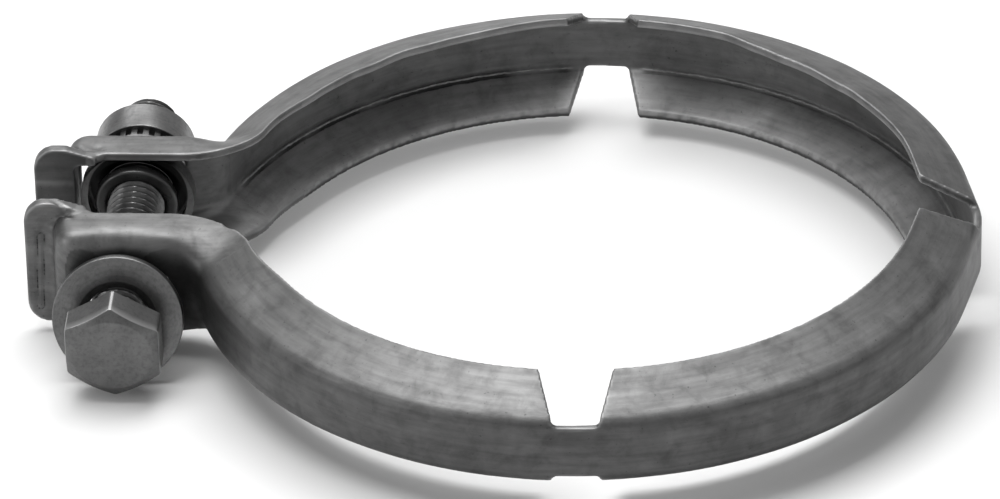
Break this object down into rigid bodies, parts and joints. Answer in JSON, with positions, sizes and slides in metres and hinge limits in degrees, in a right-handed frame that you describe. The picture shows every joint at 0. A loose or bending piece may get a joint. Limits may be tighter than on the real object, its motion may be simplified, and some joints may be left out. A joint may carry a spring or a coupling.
{
  "type": "exhaust pipe connector",
  "caption": "V-profile band clamp ring with two channel lugs, closed by a hexagon cross bolt, washer and captive round nut, for joining two flanged exhaust pipes.",
  "frame": {"origin": "centre of the ring, midway between its two flange edges", "axes": "+Z along the pipe axis; -X towards the opening, the lugs and the bolt; -Y towards the bolt's head"},
  "size_m": [0.1311, 0.108, 0.0209],
  "materials": {
    "band_steel": "bare stamped stainless sheet, satin, faintly stained",
    "bolt_steel": "plain bright steel, satin",
    "nut_steel": "turned steel, satin",
    "dark_polymer": "smooth dark polymer"
  },
  "bodies": {
    "ring_rear": {"band_rear_right": "band_steel", "neck_right": "band_steel", "neck_rear": "band_steel"},
    "ring_front": {"band_front_right": "band_steel", "neck_front": "band_steel"},
    "front_lug": {"band_front_lug": "band_steel"},
    "rear_lug": {"band_rear_lug": "band_steel"},
    "nut": {"round_nut": "nut_steel", "toothed_ring": "nut_steel", "nut_cup": "nut_steel"},
    "bolt_carriage": {"stop_ring": "dark_polymer"},
    "bolt": {"hex_bolt": "bolt_steel"},
    "washer": {"head_washer": "bolt_steel"}
  },
  "joints": [
    {"name": "right_neck_bend", "type": "hinge", "parent": "ring_rear", "child": "ring_front", "pos_m": [0.0543, 0, 0], "axis": [0, 0, -1], "range_deg": [0, 2.2], "stiffness_Nm_per_rad": 20, "deforming": ["neck_right"]},
    {"name": "front_neck_bend", "type": "hinge", "parent": "ring_front", "child": "front_lug", "pos_m": [0.0013, -0.05338, 0], "axis": [0, 0, -1], "range_deg": [0, 2.2], "stiffness_Nm_per_rad": 20, "deforming": ["neck_front"]},
    {"name": "rear_neck_bend", "type": "hinge", "parent": "ring_rear", "child": "rear_lug", "pos_m": [0.0013, 0.05338, 0], "axis": [0, 0, 1], "range_deg": [0, 2.2], "stiffness_Nm_per_rad": 20, "deforming": ["neck_rear"]},
    {"name": "nut_swivel", "type": "hinge", "parent": "rear_lug", "child": "nut", "pos_m": [-0.0623, 0.0135, 0.0003], "axis": [0, 0, -1], "range_deg": [0, 3.3]},
    {"name": "bolt_travel", "type": "slide", "parent": "nut", "child": "bolt_carriage", "axis": [0.0122, 0.9961, 0.0871], "range_m": [-0.005, 0.0007]},
    {"name": "bolt_turn", "type": "hinge", "parent": "bolt_carriage", "child": "bolt", "pos_m": [-0.06247, 0.00005, -0.00088], "axis": [0.0122, 0.9961, 0.0871], "range_deg": [-1445, 205]},
    {"name": "washer_rock", "type": "hinge", "parent": "bolt_carriage", "child": "washer", "pos_m": [-0.06269, -0.01808, -0.00246], "axis": [1, 0, 0], "range_deg": [0, 14]}
  ],
  "couplings": [
    {"joint": "front_neck_bend", "follows": "right_neck_bend", "ratio": 1},
    {"joint": "rear_neck_bend", "follows": "right_neck_bend", "ratio": 1},
    {"joint": "nut_swivel", "follows": "right_neck_bend", "ratio": 1.5},
    {"joint": "bolt_turn", "follows": "bolt_travel", "rad_per_m": 5026.5}
  ]
}
